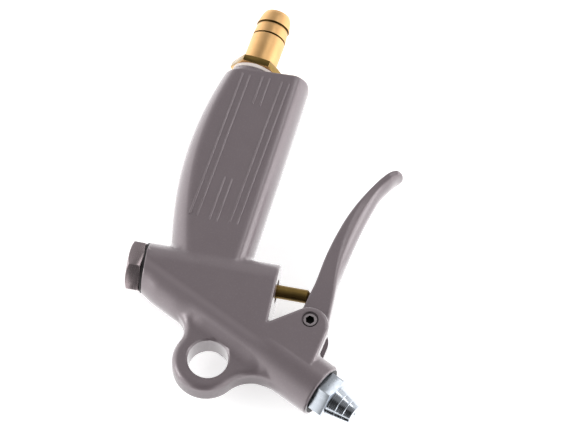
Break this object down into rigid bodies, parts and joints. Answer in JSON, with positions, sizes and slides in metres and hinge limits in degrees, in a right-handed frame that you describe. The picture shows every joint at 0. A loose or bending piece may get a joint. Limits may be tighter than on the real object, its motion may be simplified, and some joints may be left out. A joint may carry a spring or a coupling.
{
  "type": "pneumatic air duster",
  "caption": "Hand-held air blow gun: die-cast grip and valve body with hanging eye, squeeze lever on a sprung push-pin valve, brass hose tail and a tapered nozzle.",
  "frame": {"origin": "centre of the hanging eye, in the middle plane of the body", "axes": "+Z along the hanging eye's axis, which points up with the duster lying on its side; +Y up the grip; +X along the valve's centre line towards the lever"},
  "size_m": [0.1013, 0.1742, 0.022],
  "materials": {
    "cast_body": "die-cast aluminium with a satin metallic taupe coating",
    "plug_zinc": "dark grey passivated steel",
    "spring_steel": "drawn spring wire",
    "brass": "turned bright brass",
    "black_steel": "blackened steel",
    "fibre": "white fibre gasket",
    "zinc_plate": "bright zinc plating over turned steel",
    "rubber": "matt black nitrile rubber"
  },
  "bodies": {
    "housing": {"body": "cast_body", "valve_plug": "plug_zinc", "plug_seal": "rubber", "valve_spring": "spring_steel", "valve_seat": "brass", "pin_guide": "brass", "pin_oring": "rubber", "pivot_screw": "black_steel", "hose_barb": "brass", "barb_gasket": "fibre", "nozzle": "zinc_plate", "nozzle_seal": "rubber"},
    "squeeze_lever": {"lever": "cast_body", "pivot_bush": "brass"},
    "valve_stem": {"push_pin": "brass", "valve_poppet": "brass", "poppet_seal": "rubber", "poppet_nut": "brass"}
  },
  "joints": [
    {"name": "lever_pivot", "type": "hinge", "parent": "housing", "child": "squeeze_lever", "pos_m": [0.0363, 0.022, 0], "axis": [0, 0, 1], "range_deg": [0, 14], "stiffness_Nm_per_rad": 0.25, "springref_deg": -22.92},
    {"name": "valve_slide", "type": "slide", "parent": "housing", "child": "valve_stem", "axis": [1, 0, 0], "range_m": [-0.0032, 0], "deforming": ["valve_spring"]}
  ],
  "couplings": [
    {"joint": "valve_slide", "follows": "lever_pivot", "m_per_rad": -0.0125}
  ]
}
